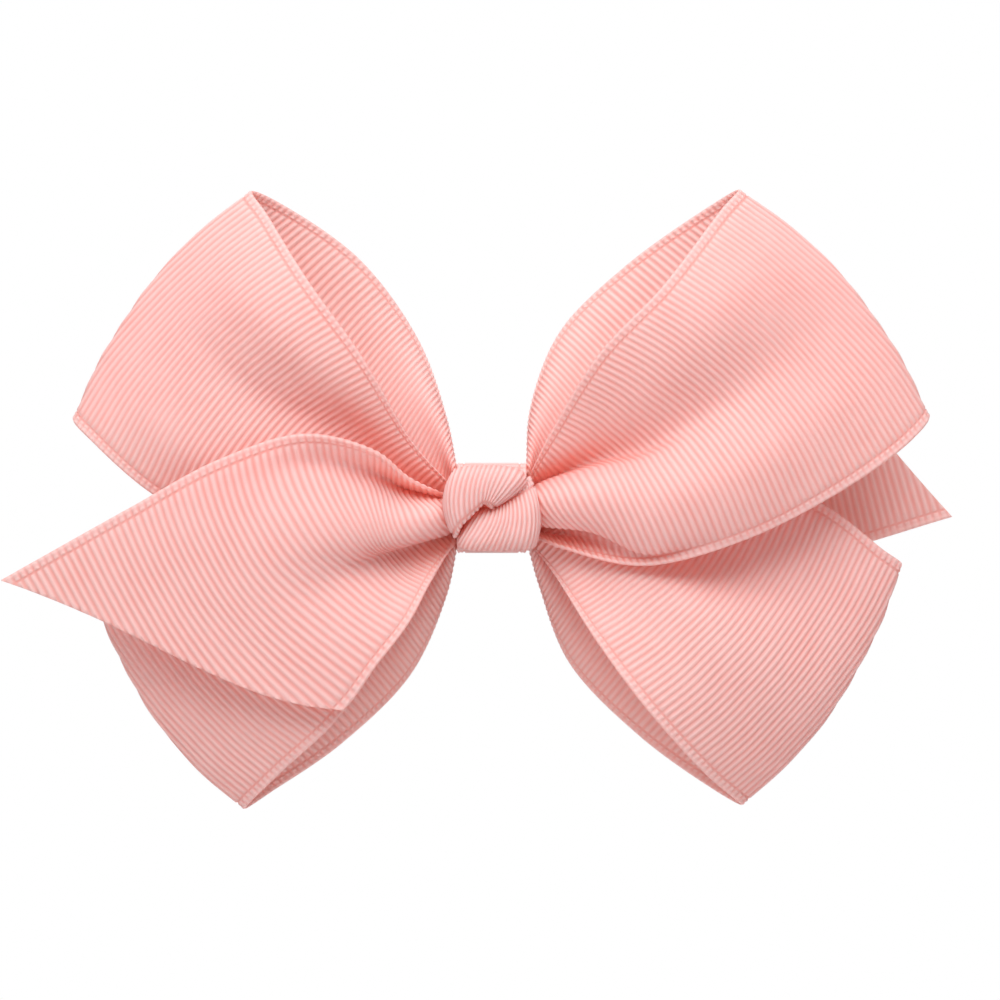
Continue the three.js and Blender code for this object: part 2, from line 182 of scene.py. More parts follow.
# How far the loops' ribs lag, by the rib's share of the rows: (share of the chord, share of the length).
SKEW = {0: [(0, 0.08), (0.25, 0.07), (0.45, 0.056), (0.7, 0.039), (0.86, 0.02), (1, 0)],
        0.25: [(0, 0.078), (0.25, 0.074), (0.45, 0.06), (0.7, 0.036), (0.86, 0.018), (1, 0)],
        0.36: [(0, 0.064), (0.25, 0.064), (0.45, 0.054), (0.7, 0.031), (0.86, 0.015), (1, 0)],
        0.52: [(0, 0.045), (0.25, 0.045), (0.45, 0.038), (0.7, 0.02), (1, 0)],
        0.75: [(0, 0), (0.5, 0), (1, 0)], 1: [(0, 0), (0.5, 0), (1, 0)]}
# The part of a lobe's bow and belly that each share of the chord takes.
ARCH = [(0, 0), (0.25, 0.76), (0.46, 1), (0.72, 0.78), (1, 0)]
# The sections of a loop's rear half, from its fold at 0.5 to the gather at 1.
BACK = {0.5: level(0, 0.12, 0.32, 0.62, 1),
        0.72: [(0, 0), (0.12, 1.1), (0.32, 0.9), (0.62, -1), (1, 0)],
        0.88: [(0, 0), (0.14, 1.7), (0.34, 0.6), (0.62, -1.5), (1, 0)],
        1.0: [(0, 0), (0.14, 1.0), (0.34, -0.6), (0.62, -1), (1, 0)]}


class Lobe:
    """The smooth middle surface of a loop or tail, read at a share of its length and a share of its width.

    The ribs join the two selvages. In the middle they bow outwards, and the pleats raise them to the viewer.
    The gather pinches the ribbon aslant: skew tells, by a rib's place along the leading selvage, how far each
    rib lags there, as (share of the chord, share of the length) points.
    """

    STATIONS, ACROSS = 201, 121

    def __init__(self, inner, outer, outward, bow, skew, front, back=None, folds=(None, None), belly=(0, 0)):
        self.inner = Selvage(inner, folds[0])
        self.outer = Selvage(outer, folds[1])
        self.length = (self.inner.length + self.outer.length) / 2
        shares = np.linspace(0, 1, self.STATIONS)
        chords = np.linalg.norm(self.outer(shares) - self.inner(shares), axis=1)
        lateral, relief = section_tables(front, shares, chords, self.ACROSS)
        if back is not None:
            ahead = smooth_step((0.54 - shares) / 0.08)[:, None]
            behind_lateral, behind_relief = section_tables(back, shares, chords, self.ACROSS)
            lateral = lateral * ahead + behind_lateral * (1 - ahead)
            relief = relief * ahead + behind_relief * (1 - ahead)
            swell = np.where(shares < 0.5, belly[0], belly[1]) * np.sin(2 * np.pi * shares) ** 2
        else:
            swell = belly[0] * np.sin(np.pi * shares)
        arch = smooth_profile(ARCH, lateral)
        self.lateral = blurred(lateral, 3)
        self.relief = blurred(relief + swell[:, None] * arch, 3)
        self.bow = blurred(smooth_profile(bow, shares)[:, None] * arch, 2)
        self.outward = np.array([outward[0], 0, outward[1]]) / math.hypot(*outward)
        across = np.linspace(0, 1, self.ACROSS)
        lags = np.array([smooth_profile(skew[share], across) for share in sorted(skew)])
        self.lag = blurred(np.stack([np.interp(shares, sorted(skew), column) for column in lags.T], 1), 4)

    def lie(self, row, v):
        """The share of the length where a rib, the row at a share of the rows, crosses each place across."""
        return row - look_up(self.lag, row + 0 * v, look_up(self.lateral, row + 0 * v, v + 0 * row))

    def __call__(self, share, v):
        a = self.inner(share)
        chord = self.outer(share) - a
        along = chord / np.linalg.norm(chord, axis=-1, keepdims=True)
        toward = np.array([0.0, -1.0, 0.0]) + along * along[..., 1:2]
        toward /= np.linalg.norm(toward, axis=-1, keepdims=True)
        place = a + chord * look_up(self.lateral, share, v)[..., None]
        place = place + self.outward * look_up(self.bow, share, v)[..., None]
        return place + toward * look_up(self.relief, share, v)[..., None]


def weave(u, across, width, pitch, selvages, rib):
    """Height of the weave above the cloth, and its tone: ribs, a row of beads and a rolled edge. The tone is
    painted light: a painted highlight on the crests, beads and rolled edge, and painted shade in the grooves
    between them.
    """
    edge = np.minimum(across / selvages[0], (width - across) / selvages[1])
    wave = 0.5 + 0.5 * np.cos(2 * np.pi * u / pitch)
    field = smooth_step((edge - 1.0) / 0.12)
    knot = smooth_step(1.5 * wave)
    rolled = np.sqrt(np.clip(1 - ((edge - 0.24) / 0.26) ** 2, 0, 1)) * (0.35 + 0.65 * knot)
    bead = np.sqrt(np.clip(1 - ((edge - 0.7) / 0.2) ** 2, 0, 1)) * knot
    height = field * wave ** 0.85 + (1 - field) * (1.05 * rolled + 0.9 * bead)
    # tone is painted light: painted highlight on crests, beads and rolled edge, painted shade in the grooves
    tone = field * wave + (1 - field) * (1.1 * rolled + bead)
    return rib * height, tone


def trimmed(lie, ends):
    """Keeps the rows' places between 0 and each column's end, and joins the rows left over there."""
    grid = lie.copy()
    index = np.arange(lie.size).reshape(lie.shape)
    for j, end in enumerate(ends):
        first = max(np.searchsorted(lie[:, j], 1e-9) - 1, 0)
        last = min(np.searchsorted(lie[:, j], end - 1e-9), len(lie) - 1)
        grid[:first + 1, j] = 0
        grid[last:, j] = end
        index[:first, j] = index[first, j]
        index[last:, j] = index[last, j]
    return grid, index


def normals(surface, share, v, reach=0.002):
    ahead = surface(np.minimum(share + reach, 1), v) - surface(np.maximum(share - reach, 0), v)
    side = surface(share, np.minimum(v + reach, 1)) - surface(share, np.maximum(v - reach, 0))
    normal = np.cross(ahead, side)
    return normal / (np.linalg.norm(normal, axis=-1, keepdims=True) + 1e-12)


def ribbon_mesh(name, surface, length, width, pitch, middle, selvages=(SELVAGE, SELVAGE), rib=RIB_HEIGHT,
                lie=None, cut=None):
    """A closed ribbon with both faces woven, its rows along the ribs.

    lie(row, v) gives the share of the length that a row has reached, and cut(v) where a column ends.
    """
    ribs = max(3, round(length / pitch))
    across = columns(width, selvages, middle)
    row = np.linspace(0, 1, ribs * ROWS_PER_RIB + 1)[:, None]
    v = across / width
    ends = np.ones(len(v)) if cut is None else cut(v)
    grid, index = trimmed(row + 0 * v if lie is None else lie(row, v), ends)
    wide = np.repeat(v[None, :], len(row), 0)
    u = row * length + 0 * wide
    height, tone = weave(u, across[None, :] + 0 * u, width, length / ribs, selvages, rib)
    melted = np.zeros(grid.shape)
    if cut is not None:
        slant = np.gradient(ends * length, across)
        melted = smooth_step(1.4 - 1.4 * (ends - grid) * length / np.sqrt(1 + slant ** 2) / SEAL_WIDTH)
    height = height * (1 - melted) + MELTED_HEIGHT * rib * melted
    thin = np.clip(np.minimum(across, width - across) / THIN_EDGE, 0.35, 1)[None, :]
    base = surface(grid, wide)
    lift = ((CLOTH + height) * thin)[..., None] * normals(surface, grid, wide)
    corner = np.stack([index[:-1, :-1], index[1:, :-1], index[1:, 1:], index[:-1, 1:]], -1).reshape(-1, 4)
    whole = (corner[:, 0] != corner[:, 1]) & (corner[:, 2] != corner[:, 3])
    part = [tuple(dict.fromkeys(face)) for face in corner[~whole].tolist()]
    faces = [tuple(face) for face in corner[whole].tolist()] + [face for face in part if len(face) > 2]
    # the crest attribute carries the tone: painted highlight and painted shade on the ribs
    return close_up(name, [base + lift, base - lift], faces, {"crest": tone}, u, across)


def placed(name, data):
    thing = bpy.data.objects.new(name, data)
    bpy.context.scene.collection.objects.link(thing)
    return thing


def close_up(name, sides, faces, tones, u, across):
    """Joins two faces round their rim and writes the mesh, its UVs and its tones, as attributes."""
    count = sides[0].shape[0] * sides[0].shape[1]
    edges = {}
    for face in faces:
        for a, b in zip(face, face[1:] + face[:1]):
            if (b, a) in edges:
                del edges[(b, a)]
            else:
                edges[(a, b)] = True
    faces_out = faces + [tuple(k + count for k in reversed(face)) for face in faces]
    faces_out += [(b, a, a + count, b + count) for a, b in edges]
    place = np.vstack([s.reshape(-1, 3) for s in sides]) * MM
    used = np.zeros(2 * count, bool)
    used[np.concatenate([np.array(face) for face in faces_out])] = True
    new = np.cumsum(used) - 1
    mesh = bpy.data.meshes.new(name)
    mesh.from_pydata(place[used].tolist(), [], [tuple(new[k] for k in face) for face in faces_out])
    uv_place = np.stack([u, np.repeat(across[None, :], u.shape[0], 0)], -1).reshape(-1, 2)
    uv_place = np.vstack([uv_place, uv_place])[used]
    corners = np.empty(len(mesh.loops), int)
    mesh.loops.foreach_get("vertex_index", corners)
    layer = mesh.uv_layers.new(name="weave_mm")
    layer.data.foreach_set("uv", uv_place[corners].astype(np.float32).ravel())
    for key, tone in tones.items():
        both = np.concatenate([tone.ravel(), tone.ravel()])[used]
        mesh.attributes.new(key, "FLOAT", "POINT").data.foreach_set("value", both.astype(np.float32))
    mesh.polygons.foreach_set("use_smooth", [True] * len(mesh.polygons))
    mesh.validate()
    return placed(name, mesh)


# ---- materials ---------------------------------------------------------------------------------------
def new_material(name):
    material = bpy.data.materials.new(name)
    material.use_nodes = True
    nodes = material.node_tree.nodes
    nodes.clear()
    return material, nodes, material.node_tree.links


def set_inputs(node, **values):
    for key, value in values.items():
        node.inputs[key.replace("_", " ")].default_value = value
    return node


def grosgrain(name, groove, crest, glow, warp_pitch=0.3, share_through=0.48, pleat=(1.0, 0.55, 0.45)):
    """Ribbed ribbon: a painted highlight on the crests and painted shade in the grooves, fine warp threads, a
    soft sheen and light through it.

    Light that passes from cloth to cloth inside a pleat deepens in colour. This is painted shade: ambient
    occlusion multiplies the colour by the pleat tint where the cloth is hemmed in.
    """
    material, nodes, links = new_material(name)
    out = nodes.new("ShaderNodeOutputMaterial")
    mix = nodes.new("ShaderNodeMixShader")
    mix.inputs[0].default_value = share_through
    cloth = nodes.new("ShaderNodeBsdfPrincipled")
    set_inputs(cloth, Roughness=0.62, Sheen_Weight=0.35, Sheen_Roughness=0.45, Specular_IOR_Level=0.35)
    cloth.inputs["Sheen Tint"].default_value = (1.0, 0.86, 0.84, 1)
    through = nodes.new("ShaderNodeBsdfTranslucent")
    through.inputs["Color"].default_value = (*glow, 1)
    # Reads the weave's tone: painted highlight on the crests, painted shade in the grooves.
    rib_shade_tone = nodes.new("ShaderNodeAttribute")
    rib_shade_tone.attribute_name = "crest"
    noise = set_inputs(nodes.new("ShaderNodeTexNoise"), Scale=180.0, Detail=3.0, Roughness=0.6)
    place = nodes.new("ShaderNodeTexCoord")
    links.new(place.outputs["Object"], noise.inputs["Vector"])
    uneven_and_rib_shade = nodes.new("ShaderNodeMath")
    uneven_and_rib_shade.operation = "MULTIPLY_ADD"
    uneven_and_rib_shade.inputs[1].default_value = 0.5
    links.new(noise.outputs["Fac"], uneven_and_rib_shade.inputs[0])
    links.new(rib_shade_tone.outputs["Fac"], uneven_and_rib_shade.inputs[2])
    # Ramp from the groove colour (painted shade) to the crest colour (painted highlight). The noise adds
    # random unevenness.
    ramp = nodes.new("ShaderNodeValToRGB")
    ramp.color_ramp.elements[0].position = 0.2
    ramp.color_ramp.elements[0].color = (*groove, 1)
    ramp.color_ramp.elements[1].position = 1.0
    ramp.color_ramp.elements[1].color = (*crest, 1)
    links.new(uneven_and_rib_shade.outputs[0], ramp.inputs["Fac"])
    # Painted shade: ambient occlusion darkens and deepens the colour in pleats and creases by the pleat tint.
    depth = set_inputs(nodes.new("ShaderNodeAmbientOcclusion"), Distance=0.007)
    depth.samples = 6
    pleat_shade = nodes.new("ShaderNodeMix")
    pleat_shade.data_type = "RGBA"
    pleat_shade.blend_type = "MULTIPLY"
    pleat_shade.inputs["B"].default_value = (*pleat, 1)
    inside = nodes.new("ShaderNodeMapRange")
    inside.inputs["From Min"].default_value = 0.6
    inside.inputs["From Max"].default_value = 0.1
    links.new(depth.outputs["AO"], inside.inputs["Value"])
    links.new(inside.outputs["Result"], pleat_shade.inputs["Factor"])
    links.new(ramp.outputs["Color"], pleat_shade.inputs["A"])
    links.new(pleat_shade.outputs["Result"], cloth.inputs["Base Color"])
    split = nodes.new("ShaderNodeSeparateXYZ")
    uv = nodes.new("ShaderNodeUVMap")
    uv.uv_map = "weave_mm"
    links.new(uv.outputs["UV"], split.inputs[0])
    turns = nodes.new("ShaderNodeMath")
    turns.operation = "MULTIPLY"
    turns.inputs[1].default_value = 2 * math.pi / warp_pitch
    links.new(split.outputs["Y"], turns.inputs[0])
    wave = nodes.new("ShaderNodeMath")
    wave.operation = "SINE"
    links.new(turns.outputs[0], wave.inputs[0])
    bump = set_inputs(nodes.new("ShaderNodeBump"), Strength=0.11, Distance=0.00004)
    links.new(wave.outputs[0], bump.inputs["Height"])
    links.new(bump.outputs["Normal"], cloth.inputs["Normal"])
    links.new(cloth.outputs[0], mix.inputs[1])
    links.new(through.outputs[0], mix.inputs[2])
    links.new(mix.outputs[0], out.inputs["Surface"])
    return material


def brushed_metal(name, colour, roughness, scale):
    """Plated pressed steel with faint drawing lines and uneven polish."""
    material, nodes, links = new_material(name)
    out = nodes.new("ShaderNodeOutputMaterial")
    metal = set_inputs(nodes.new("ShaderNodeBsdfPrincipled"), Metallic=1.0)
    metal.inputs["Base Color"].default_value = (*colour, 1)
    place = nodes.new("ShaderNodeTexCoord")
    stretch = nodes.new("ShaderNodeMapping")
    stretch.inputs["Scale"].default_value = (scale * 0.05, scale, scale)
    noise = set_inputs(nodes.new("ShaderNodeTexNoise"), Scale=1.0, Detail=4.0, Roughness=0.6)
    links.new(place.outputs["Object"], stretch.inputs["Vector"])
    links.new(stretch.outputs["Vector"], noise.inputs["Vector"])
    spread = nodes.new("ShaderNodeMapRange")
    spread.inputs["To Min"].default_value = roughness * 0.8
    spread.inputs["To Max"].default_value = roughness * 1.35
    links.new(noise.outputs["Fac"], spread.inputs["Value"])
    links.new(spread.outputs["Result"], metal.inputs["Roughness"])
    bump = set_inputs(nodes.new("ShaderNodeBump"), Strength=0.06, Distance=0.00001)
    links.new(noise.outputs["Fac"], bump.inputs["Height"])
    links.new(bump.outputs["Normal"], metal.inputs["Normal"])
    links.new(metal.outputs[0], out.inputs["Surface"])
    return material


def cloudy_glue(name):
    """Set hot-melt glue: pale, smooth and lit through."""
    material, nodes, links = new_material(name)
    out = nodes.new("ShaderNodeOutputMaterial")
    glue = set_inputs(nodes.new("ShaderNodeBsdfPrincipled"), Roughness=0.28, Subsurface_Weight=0.5)
    glue.inputs["Subsurface Radius"].default_value = (0.002, 0.0018, 0.0015)
    noise = set_inputs(nodes.new("ShaderNodeTexNoise"), Scale=700.0, Detail=2.0)
    ramp = nodes.new("ShaderNodeValToRGB")
    ramp.color_ramp.elements[0].color = (0.78, 0.75, 0.66, 1)
    ramp.color_ramp.elements[1].color = (0.9, 0.88, 0.82, 1)
    links.new(noise.outputs["Fac"], ramp.inputs["Fac"])
    links.new(ramp.outputs["Color"], glue.inputs["Base Color"])
    links.new(glue.outputs[0], out.inputs["Surface"])
    return material


# Groove colours are painted shade in the grooves, crest colours a painted highlight on the crests.
BOW_CLOTH = grosgrain("bow_grosgrain", (0.93, 0.54, 0.50), (1.0, 0.85, 0.835), (1.0, 0.62, 0.56))
KNOT_CLOTH = grosgrain("knot_grosgrain", (0.9, 0.52, 0.48), (1.0, 0.87, 0.86), (1.0, 0.62, 0.56), 0.24)
STEEL = brushed_metal("nickel_plate", (0.8, 0.79, 0.77), 0.2, 1800)
SPRING = brushed_metal("spring_wire", (0.62, 0.62, 0.63), 0.3, 4000)
GLUE = cloudy_glue("hot_melt")
THREAD = grosgrain("binding_thread_twist", (0.72, 0.34, 0.31), (0.93, 0.52, 0.48), (1.0, 0.4, 0.33), 0.1)


def give(piece, material):
    piece.data.materials.clear()
    piece.data.materials.append(material)


def fit(piece, material, slot, *nodes, flat=None, area=None, held="folded"):
    """Gives a soft piece its material and body, and hides the CAD nodes it stands for. The slot and the flat
    size in mm are not used.
    """
    give(piece, material)
    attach(piece, "bow")
    if nodes:
        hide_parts(*nodes)
    return piece


# ---- loops and tails ---------------------------------------------------------------------------------
def loop(**facts):
    return Lobe(folds=(5, 6), belly=(1.2, -1.5), back=BACK, skew=SKEW, **facts)


def lower_front(middle_dip, outer_dip):
    """The front sections of a lower loop, by how far its fold dips at two places along it."""
    return {0.0: [(0, 0), (0.2, 1.2), (0.45, 2), (0.7, -1.6), (1, 0)],
            0.1: [(0, 0), (0.2, 1.2), (0.42, 2.2), (0.7, -2), (1, 0)],
            0.24: [(0, 0), (0.2, 0.8), (0.42, 1.4), (0.68, -middle_dip), (1, 0)],
            0.36: [(0, 0), (0.2, 0.3), (0.42, 0.5), (0.68, -outer_dip), (1, 0)],
            0.5: level(0, 0.2, 0.42, 0.68, 1)}


# Selvage points are x, z and depth y, as the bow is seen from the front. A lobe's bow is a list of (share of
# length, mm outwards), and a section is a list of (share of the chord, mm towards the viewer).
LOOPS = {
    "upper_right_loop": loop(
        inner=[(4.9, 4.2, -11.2), (8, 10.5, -15), (14.3, 20.6, -20), (22.3, 29, -20.5), (30.4, 39.6, -13),
               (32.8, 42.4, -9), (29.4, 40.6, -5), (17.8, 32.4, -1.2), (9.1, 23.6, -1), (5.3, 13.5, -4.4),
               (4.8, 5.7, -8)],
        outer=[(4.9, -3.4, -11.2), (9.6, -5.4, -14), (20.1, -7.6, -16.4), (33.4, -4.1, -16.6),
               (47.3, 2.9, -14.6), (55.8, 9, -12), (58.2, 12.1, -9.6), (54.4, 12, -8), (40, 8, -9.4),
               (24, 4, -11.2), (12, 0, -11.2), (4.9, -3, -9.6)],
        outward=(2.6, 1.9),
        bow=[(0, 0), (0.05, 2), (0.12, 4.6), (0.22, 5.4), (0.32, 4.9), (0.42, 3.9), (0.5, 3.2), (0.6, 2.3),
             (0.8, 1), (1, 0)],
        front={0.0: [(0, 0), (0.1, -0.6), (0.23, -3.2), (0.26, 0.8), (0.46, 3.6), (0.7, 3), (0.83, 0.8),
                     (0.78, -1.4), (0.88, -2.6), (1, 0)],
               0.06: [(0, 0), (0.2, -1.2), (0.38, -4.2), (0.42, 0), (0.58, 4.2), (0.76, 3.6), (0.84, 1.2),
                      (0.8, -1.4), (0.88, -2.8), (1, 0.4)],
               0.13: [(0, 0), (0.25, -1.8), (0.49, -4.2), (0.53, -0.8), (0.68, 3.2), (0.86, 3), (0.96, 1.2),
                      (0.94, -0.2), (0.96, -0.4), (1, 0.6)],
               0.22: [(0, 0), (0.25, -1), (0.52, -3.2), (0.59, -0.8), (0.74, 2), (0.87, 2.2), (0.93, 1.8),
                      (0.95, 1.6), (0.97, 1.4), (1, 1.1)],
               0.34: [(0, 0), (0.2, 0.5), (0.48, -1.5), (0.6, -0.8), (0.74, 0.6), (0.86, 1), (0.9, 1),
                      (0.94, 1), (0.97, 0.9), (1, 0.8)],
               0.5: level(0, 0.2, 0.48, 0.6, 0.74, 0.86, 0.9, 0.94, 0.97, 1)}),
    "upper_left_loop": loop(
        inner=[(-4.9, 2.4, -10), (-10.7, 9.1, -14), (-16.8, 19.6, -19), (-24.5, 30.4, -19),
               (-30, 39.2, -12.5), (-32, 42.2, -9), (-28.7, 41, -5.5), (-17.8, 33.4, -1.7), (-10, 22.7, -1),
               (-6.2, 12, -4.4), (-4.95, 5.7, -7.5)],
        outer=[(-4.9, -3.4, -10), (-10, -5.2, -11), (-20, -6.8, -12.7), (-33, -4.2, -13.4),
               (-44.9, 1.7, -12.6), (-53, 8.6, -11), (-55.8, 11.8, -8.6), (-52, 11.8, -6.6), (-38, 8, -7.8),
               (-24, 4, -9.7), (-12, 0, -9.7), (-4.9, -3, -8.9)],
        outward=(-2.4, 1.8),
        bow=[(0, 0), (0.06, 2), (0.14, 4), (0.24, 4.9), (0.34, 4.6), (0.42, 3.8), (0.5, 3), (0.6, 2.2),
             (0.8, 1), (1, 0)],
        front={0.0: [(0, 0), (0.15, -0.4), (0.3, -1.4), (0.44, -3.4), (0.62, 0.6),
                      (0.8, 0.8), (0.92, -0.4), (1, 0)],
               0.08: [(0, 0), (0.12, -0.4), (0.3, -1.8), (0.42, -4), (0.6, 0), (0.8, 1), (0.92, 0.4), (1, 0)],
               0.15: [(0, 0.2), (0.12, -0.6), (0.27, -3.2), (0.36, -3), (0.6, 0.4),
                      (0.8, 0.8), (0.93, 0.4), (1, 0)],
               0.22: [(0, 0.3), (0.14, 0), (0.32, -2.2), (0.42, -3), (0.62, -0.4),
                      (0.8, 0.7), (0.93, 0.3), (1, 0)],
               0.3: [(0, 0.2), (0.2, 0.4), (0.36, -1.2), (0.47, -2), (0.64, -0.8),
                      (0.8, 0.4), (0.93, 0.2), (1, 0)],
               0.42: [(0, 0), (0.2, 0.3), (0.36, -0.3), (0.46, -0.6), (0.64, -0.3),
                      (0.8, 0.1), (0.93, 0.1), (1, 0)],
               0.5: level(0, 0.2, 0.36, 0.46, 0.64, 0.8, 0.93, 1)}),
    "lower_right_loop": loop(
        inner=[(4.9, -4.4, -7.8), (8, -8.4, -11), (13.4, -17, -16.5), (20.3, -26.4, -18.5),
               (28.4, -35.4, -14), (33.2, -39.6, -8), (29.8, -37.8, -4.6), (19.9, -30.7, -2.2),
               (10.4, -20.8, -2), (6.5, -10.6, -3.8), (5.1, -5.4, -5.6)],
        outer=[(4.9, 2.6, -7.6), (12, 4.4, -7.3), (22, 5.8, -7.5), (34, 4.6, -8.1), (44.2, 0.6, -9.2),
               (52, -5.4, -9), (54.7, -7.4, -7.2), (51, -6.8, -5.4), (38, -3.5, -5.2), (22, 0.5, -5.8),
               (12, 1.5, -5.9), (4.9, 2.2, -5.9)],
        outward=(2.5, -1.9),
        bow=[(0, 0), (0.06, 2), (0.14, 4), (0.24, 4.9), (0.34, 4.6), (0.42, 3.9), (0.5, 3.1), (0.6, 2.2),
             (0.8, 1), (1, 0)],
        front=lower_front(1.6, 0.7)),
    "lower_left_loop": loop(
        inner=[(-4.9, -4.4, -7), (-8.6, -9.8, -10), (-13.4, -17.6, -14.5), (-20.5, -28, -16.5),
               (-28.1, -35.2, -13), (-32.9, -40.1, -7.8), (-29.5, -38, -4.4), (-20.3, -31.7, -2.1),
               (-10.9, -22.3, -2), (-6.3, -12, -3.6), (-4.9, -5.3, -5)],
        outer=[(-4.9, 2.6, -6.8), (-12, 4.2, -6.5), (-22, 5.2, -6.7), (-34, 4, -7.5), (-45, -0.5, -8.6),
               (-52, -5.4, -8.6), (-54.4, -7.2, -6.9), (-50.6, -6.8, -5), (-38, -3.6, -4.6), (-22, 0, -5),
               (-12, 1.4, -5.2), (-4.9, 2.2, -5.2)],
        outward=(-2.7, -2.3),
        bow=[(0, 0), (0.06, 2), (0.14, 4), (0.24, 4.9), (0.34, 4.7), (0.42, 4.1), (0.5, 3.55), (0.6, 2.5),
             (0.8, 1), (1, 0)],
        front=lower_front(1.2, 0.5)),
}
TAILS = {
    "left_tail": Lobe(
        inner=[(-4.9, 1.1, -11.4), (-10.9, 3.9, -15.4), (-15.5, 7.6, -18.4), (-24.7, 9.8, -20),
               (-35.7, 6.6, -19.6), (-48.2, -0.1, -17), (-65.4, -9.6, -11)],
        outer=[(-4.9, -4.2, -11.4), (-8.2, -10, -15.4), (-11.1, -15.4, -18.6), (-15.3, -20.9, -20),
               (-19.6, -26.7, -19.5), (-30, -34.5, -17), (-46.5, -43.5, -11)],
        outward=(-2.4, -1.5), belly=(0.5, 0),
        bow=[(0, 0), (0.05, 1.6), (0.14, 4.4), (0.26, 5.6), (0.4, 5.2), (0.6, 3), (0.8, 1), (1, 0)],
        skew={0: [(0, 0), (0.2, 0.04), (0.4, 0.06), (0.7, 0.08), (1, 0.09)],
              0.14: [(0, 0), (0.1, 0.015), (0.2, 0.05), (0.4, 0.074), (0.7, 0.106), (1, 0.12)],
              0.34: [(0, 0), (0.1, 0.022), (0.3, 0.078), (0.6, 0.158), (0.8, 0.178), (1, 0.18)],
              0.45: [(0, 0), (0.1, 0.015), (0.3, 0.06), (0.6, 0.133), (0.8, 0.166), (1, 0.172)],
              0.6: [(0, 0), (0.1, 0.007), (0.3, 0.036), (0.6, 0.091), (0.8, 0.127), (1, 0.137)],
              0.85: [(0, 0), (0.5, 0.02), (1, 0.05)], 1: [(0, 0), (0.5, 0.01), (1, 0.02)]},
        front={0.0: [(0, -1.4), (0.04, -1.6), (0.07, -1.6), (0.1, 0.4), (0.28, 3.4), (0.6, 2.8), (0.76, 0.2),
                     (0.77, -2), (0.88, -1.6), (1, 0)],
               0.05: [(0, 1.4), (0.03, -0.8), (0.06, -2), (0.09, 0.2), (0.28, 3.8), (0.5, 3.4), (0.61, 0.6),
                      (0.625, -2.4), (0.78, -1.8), (1, 0)],
               0.1: [(0, 2), (0.035, -0.8), (0.07, -2.6), (0.11, -0.2), (0.28, 3.2), (0.46, 3.2), (0.53, 1),
                     (0.545, -2.2), (0.76, -1.6), (1, 0)],
               0.17: [(0, 2.4), (0.04, -0.2), (0.085, -2.4), (0.14, -0.6), (0.29, 2.4), (0.43, 2.4),
                      (0.51, 0.8), (0.55, -1.5), (0.78, -1), (1, 0)],
               0.25: [(0, 2), (0.045, 0.2), (0.09, -1.4), (0.15, -0.3), (0.3, 1.6), (0.42, 1.4), (0.5, 0.2),
                      (0.58, -1), (0.8, -0.3), (1, 0)],
               0.42: [(0, 0.6), (0.05, 0.3), (0.1, 0), (0.17, 0.1), (0.31, 0.4), (0.4, 0.3), (0.48, 0),
                      (0.6, -0.2), (0.8, 0), (1, 0)],
               0.62: level(0, 0.05, 0.1, 0.17, 0.31, 0.4, 0.48, 0.6, 0.8, 1)}),
    "right_tail": Lobe(
        inner=[(4.9, 3.6, -3.8), (12, 12, -2.8), (20, 22, -1.4), (33, 30, 0.6), (50, 36, 1.5)],
        outer=[(4.9, -3.6, -3.8), (14, -6.6, -3.4), (28, -8.4, -2.6), (44.5, -6.2, -0.6), (62, -1.2, 0.5)],
        outward=(2.6, 1.2), belly=(0.3, 0), bow=[(0, 0), (0.15, 2), (0.4, 3), (0.7, 1.5), (1, 0)],
        skew={0: [(0, 0.05), (0.5, 0.025), (1, 0)], 0.6: [(0, 0.03), (0.5, 0.015), (1, 0)],
              1: [(0, 0), (0.5, 0), (1, 0)]},
        front={0.0: [(0, 0), (0.3, 1), (0.6, -1), (1, 0)], 0.3: [(0, 0), (0.3, 0.8), (0.6, -0.8), (1, 0)],
               0.7: level(0, 0.3, 0.6, 1)}),
}
# Where each tail is cut, as the share of its length left at the inner and at the outer selvage.
CUTS = {"left_tail": (1.0, TAILS["left_tail"].outer.share_at(4)),
        "right_tail": (TAILS["right_tail"].inner.share_at(3), 1.0)}
SEAL_WIDTH = 0.55  # of the melted rim that keeps a cut end from fraying


def make_loops_and_tails():
    for name, lobe in {**LOOPS, **TAILS}.items():
        cut, area = None, None
        if name in CUTS:
            low, high = CUTS[name]
            cut = lambda v, low=low, high=high: low + (high - low) * v
            area = RIBBON_WIDTH * lobe.length * (low + high) / 2
        pitch = LOOP_RIB_PITCH if name in LOOPS else RIB_PITCH
        piece = ribbon_mesh(name + "_ribbon", lobe, lobe.length, RIBBON_WIDTH, pitch, GRID_ACROSS,
                            lie=lobe.lie, cut=cut)
        fit(piece, BOW_CLOTH, "bow_ribbon", name, flat=(RIBBON_WIDTH, lobe.length), area=area,
            held="gathered")


make_loops_and_tails()


# ---- gathered centre and its thread ------------------------------------------------------------------
CORE_X = (-4.75, 4.75)
CORE_Z = (-4.6, 5.0)
CORE_LAYERS = (-10.2, -7.1, -4.0)  # depths of the three lengths of ribbon that are gathered together
PLEATS = 9
PLEAT_HALF_DEPTH = 1.12
CORE_LENGTH = 10.0
CORE_RIB = 0.03
WAIST = 0.1  # how far the thread pinches the gathers
WAIST_HALF = 1.45
THREAD_LOOP = ((-11.44, -4.54), (-2.76, 4.94))  # its low and its high corner, as depth and height
THREAD_CORNER = 1.7
THREAD_WIDTH = 2.1
THREAD_RADIUS = 0.21
THREAD_TURNS = 4


def waist_at(x):
    return 1 - WAIST * np.exp(-((x / WAIST_HALF) ** 4))


